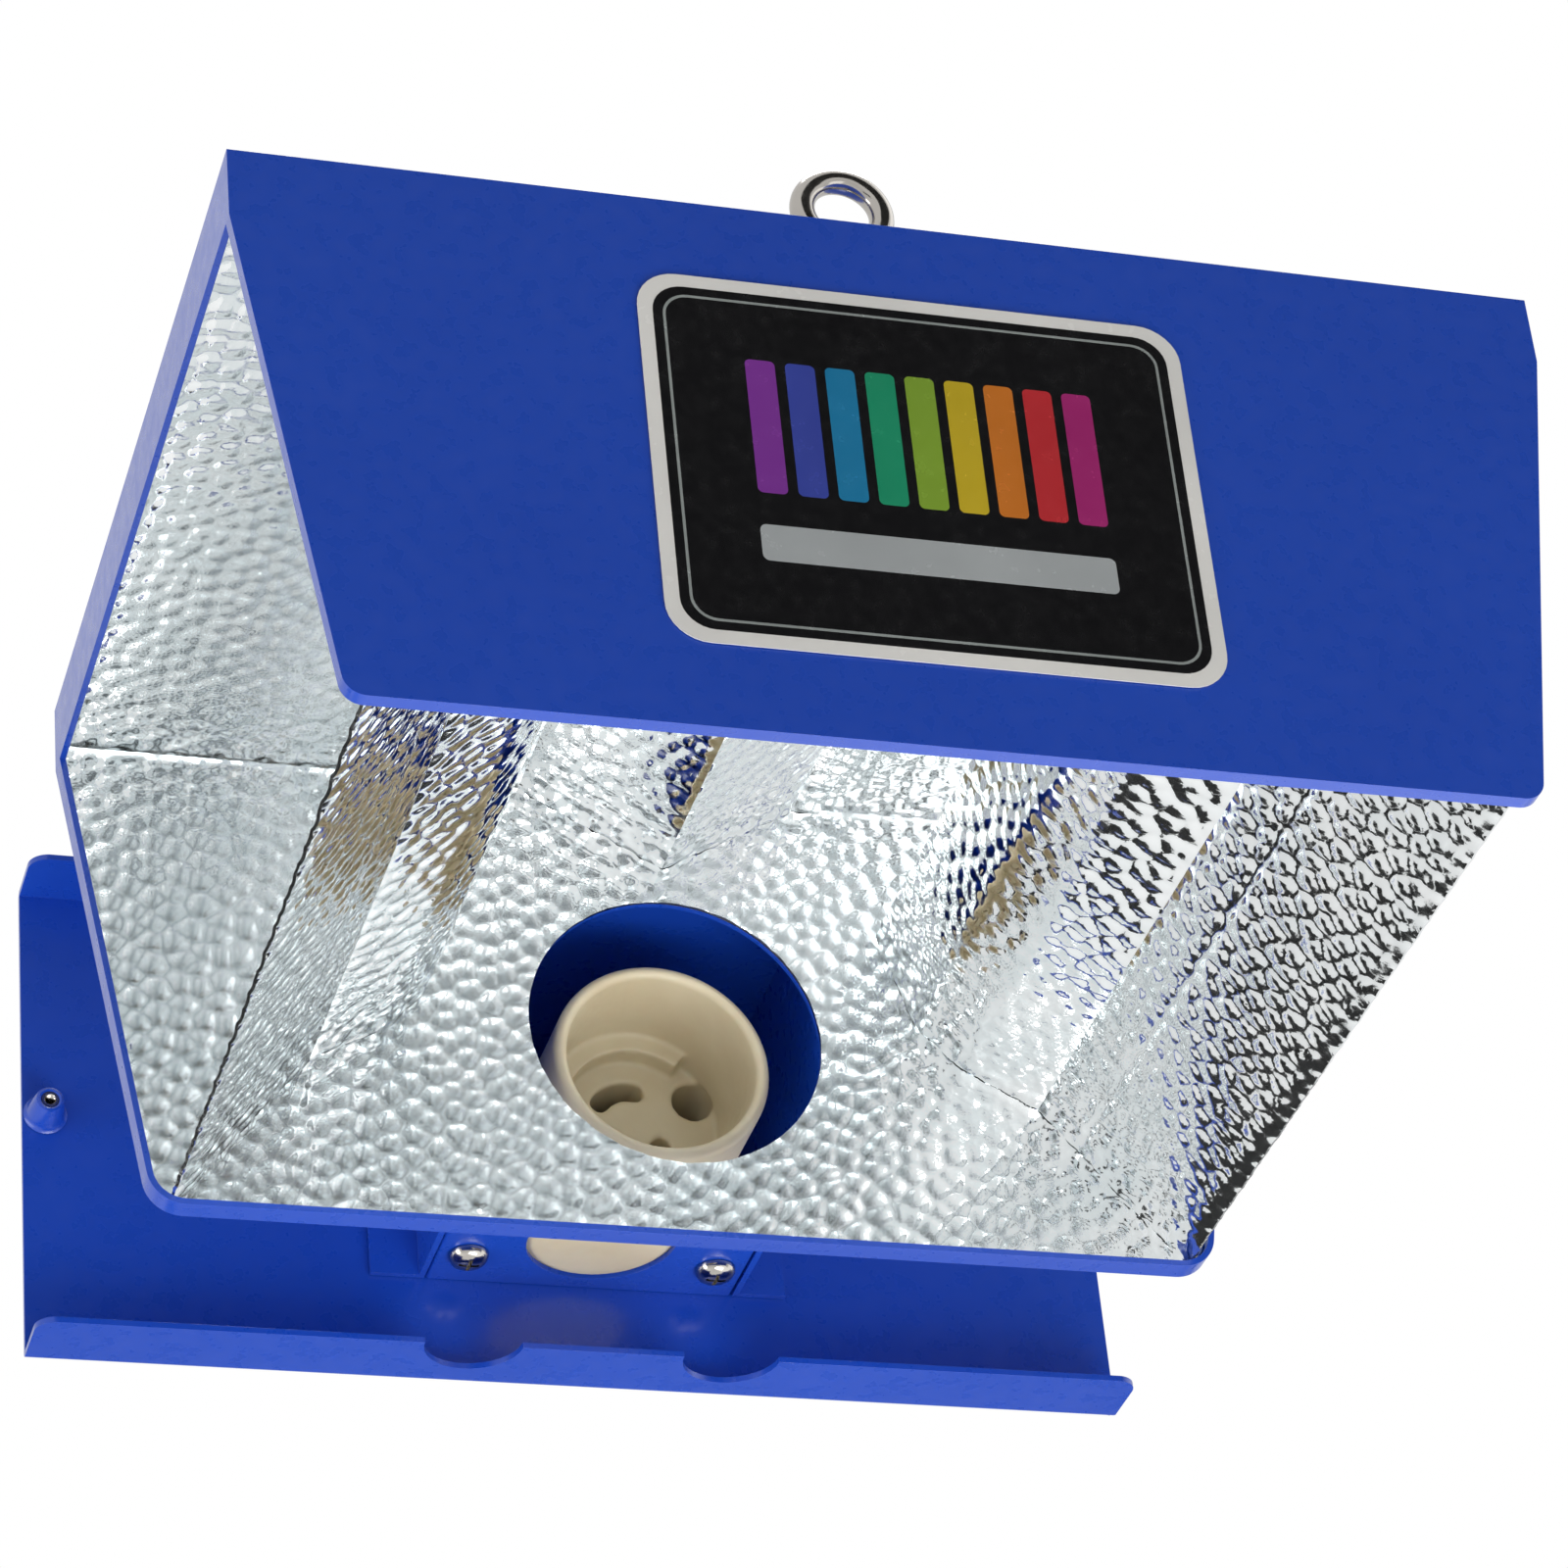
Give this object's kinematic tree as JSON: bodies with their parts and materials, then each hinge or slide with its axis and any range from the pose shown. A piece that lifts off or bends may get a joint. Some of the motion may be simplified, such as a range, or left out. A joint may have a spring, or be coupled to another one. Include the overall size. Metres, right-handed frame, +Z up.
{
  "type": "grow lamp",
  "caption": "Open-ended blue sheet-metal grow lamp hood with a hammered aluminium reflector, a ceramic twist-lock lamp holder, a rear gear tray and hanging eyes",
  "frame": {"origin": "middle of the whole lamp's box, on the plane of the hood's mouth, which is its lowest plane", "axes": "+Z up when the lamp hangs, +X across the hood, +Y from the front panel with the label back to the gear tray"},
  "size_m": [0.288, 0.318, 0.1744],
  "materials": {
    "blue_paint": "deep royal blue powder coat, semi-gloss, very fine orange peel",
    "hammered_aluminium": "bright anodised aluminium, pebble-hammered",
    "ceramic": null,
    "bright_steel": "polished stainless steel and nickel plate",
    "brass": "bare brass, slightly dulled",
    "black_nylon": "moulded black nylon, matt",
    "label_print": null
  },
  "bodies": {
    "fixture": {"boss_bush_left": "bright_steel", "boss_bush_right": "bright_steel", "gland_body": "black_nylon", "gland_dome": "black_nylon", "gland_lock_nut": "black_nylon", "holder_contact_left": "brass", "holder_contact_right": "brass", "holder_housing": "blue_paint", "holder_nut_left": "bright_steel", "holder_nut_right": "bright_steel", "holder_screw_left": "bright_steel", "holder_screw_right": "bright_steel", "holder_shelf": "blue_paint", "hood_shell": "blue_paint", "housing_rivet_left_lower": "bright_steel", "housing_rivet_left_upper": "bright_steel", "housing_rivet_right_lower": "bright_steel", "housing_rivet_right_upper": "bright_steel", "label_plate": "label_print", "lamp_holder": "ceramic", "rear_tray": "blue_paint", "reflector_liner": "hammered_aluminium", "reflector_ridge": "hammered_aluminium", "reflector_wing_left": "hammered_aluminium", "reflector_wing_right": "hammered_aluminium", "tray_boss_left": "blue_paint", "tray_boss_right": "blue_paint"},
    "front_eye": {"eye_bolt_front": "bright_steel", "eye_lock_nut_front": "bright_steel", "eye_top_nut_front": "bright_steel", "eye_washer_front": "bright_steel"},
    "rear_eye": {"eye_bolt_rear": "bright_steel", "eye_lock_nut_rear": "bright_steel", "eye_top_nut_rear": "bright_steel", "eye_washer_rear": "bright_steel"}
  },
  "joints": [
    {"name": "front_eye_swivel", "type": "hinge", "parent": "fixture", "child": "front_eye", "pos_m": [0, -0.1263, 0.133], "axis": [0, 0, 1], "continuous": true},
    {"name": "rear_eye_swivel", "type": "hinge", "parent": "fixture", "child": "rear_eye", "pos_m": [0, 0.0137, 0.133], "axis": [0, 0, 1], "continuous": true}
  ]
}
